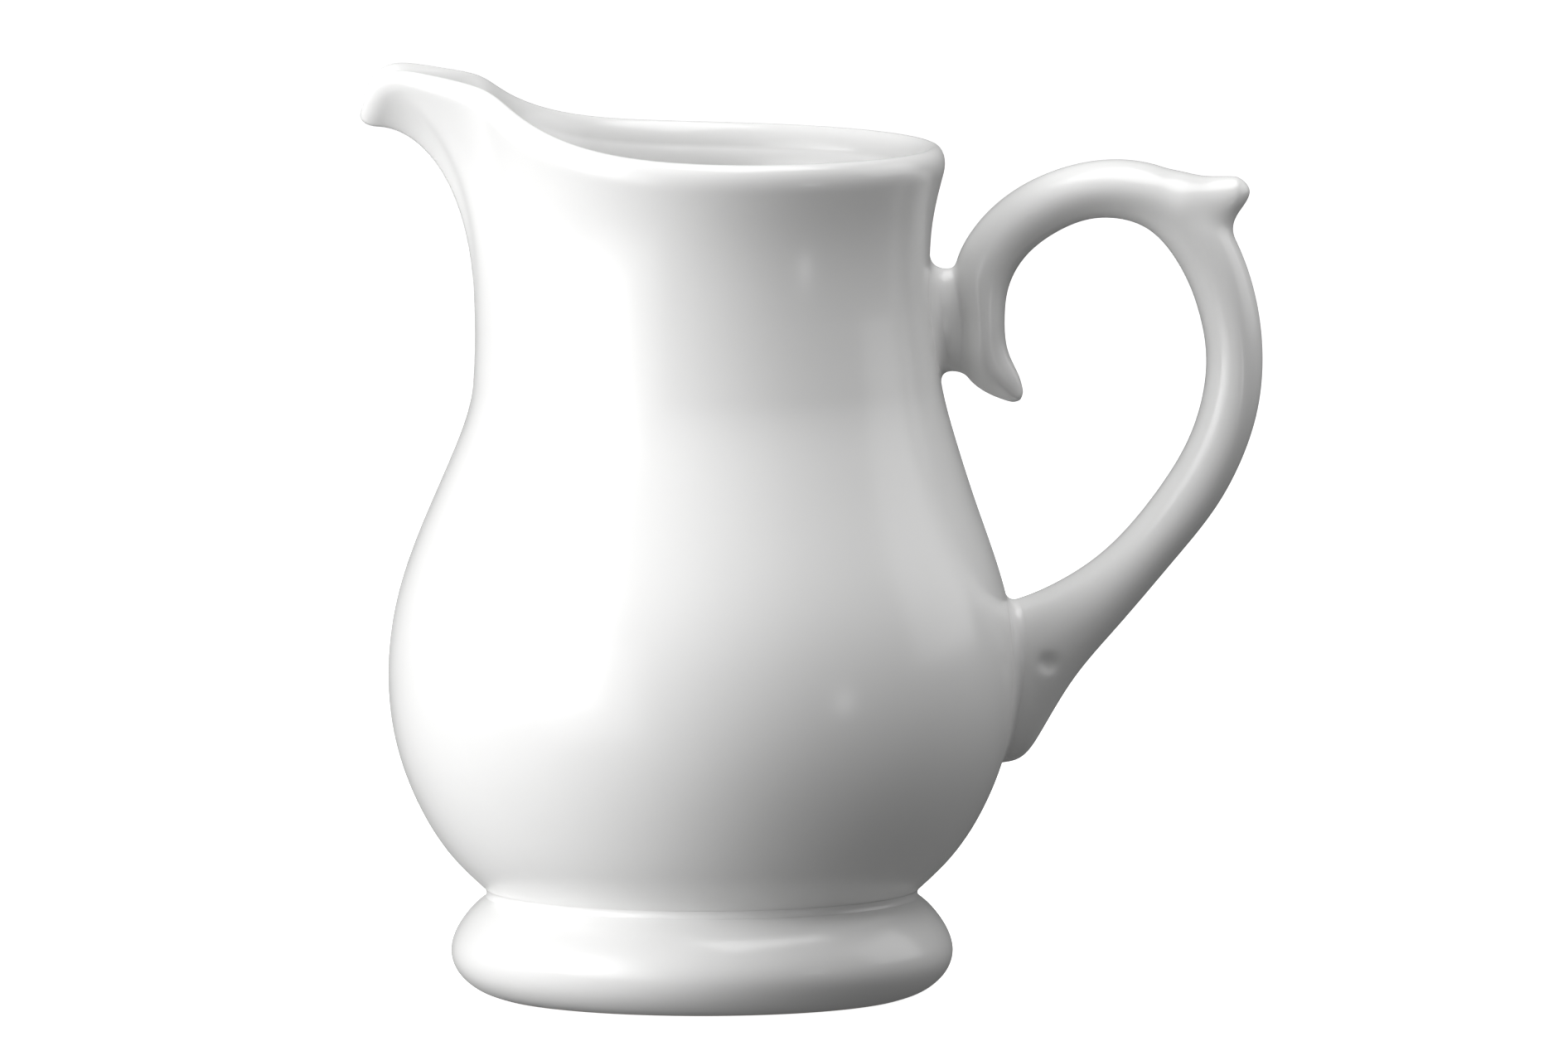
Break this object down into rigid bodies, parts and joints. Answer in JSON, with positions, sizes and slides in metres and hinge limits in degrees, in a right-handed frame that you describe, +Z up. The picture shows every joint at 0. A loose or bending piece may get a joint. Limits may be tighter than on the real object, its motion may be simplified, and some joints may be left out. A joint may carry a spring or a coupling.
{
  "type": "pitcher",
  "caption": "White glazed ceramic pitcher with a round belly, upright neck, drawn pouring spout, scroll handle with a thumb spur, and a spreading foot ring.",
  "frame": {"origin": "on the surface it stands on, under the middle of the whole outline, spout and handle included", "axes": "+Z up, -X along the spout, +X along the handle; the jug is symmetric about the XZ plane"},
  "size_m": [0.1455, 0.101, 0.15],
  "materials": {
    "body_glaze": "clear gloss glaze over white china",
    "foot_glaze": "clear gloss glaze over white china, bare on the standing ring",
    "handle_glaze": "clear gloss glaze over white china",
    "slip_glaze": "fired casting slip under the same gloss glaze"
  },
  "bodies": {
    "root": {"body": "body_glaze", "foot": "foot_glaze", "handle": "handle_glaze", "slip_joint_top": "slip_glaze", "slip_joint_bottom": "slip_glaze", "slip_joint_foot": "slip_glaze"}
  },
  "joints": []
}
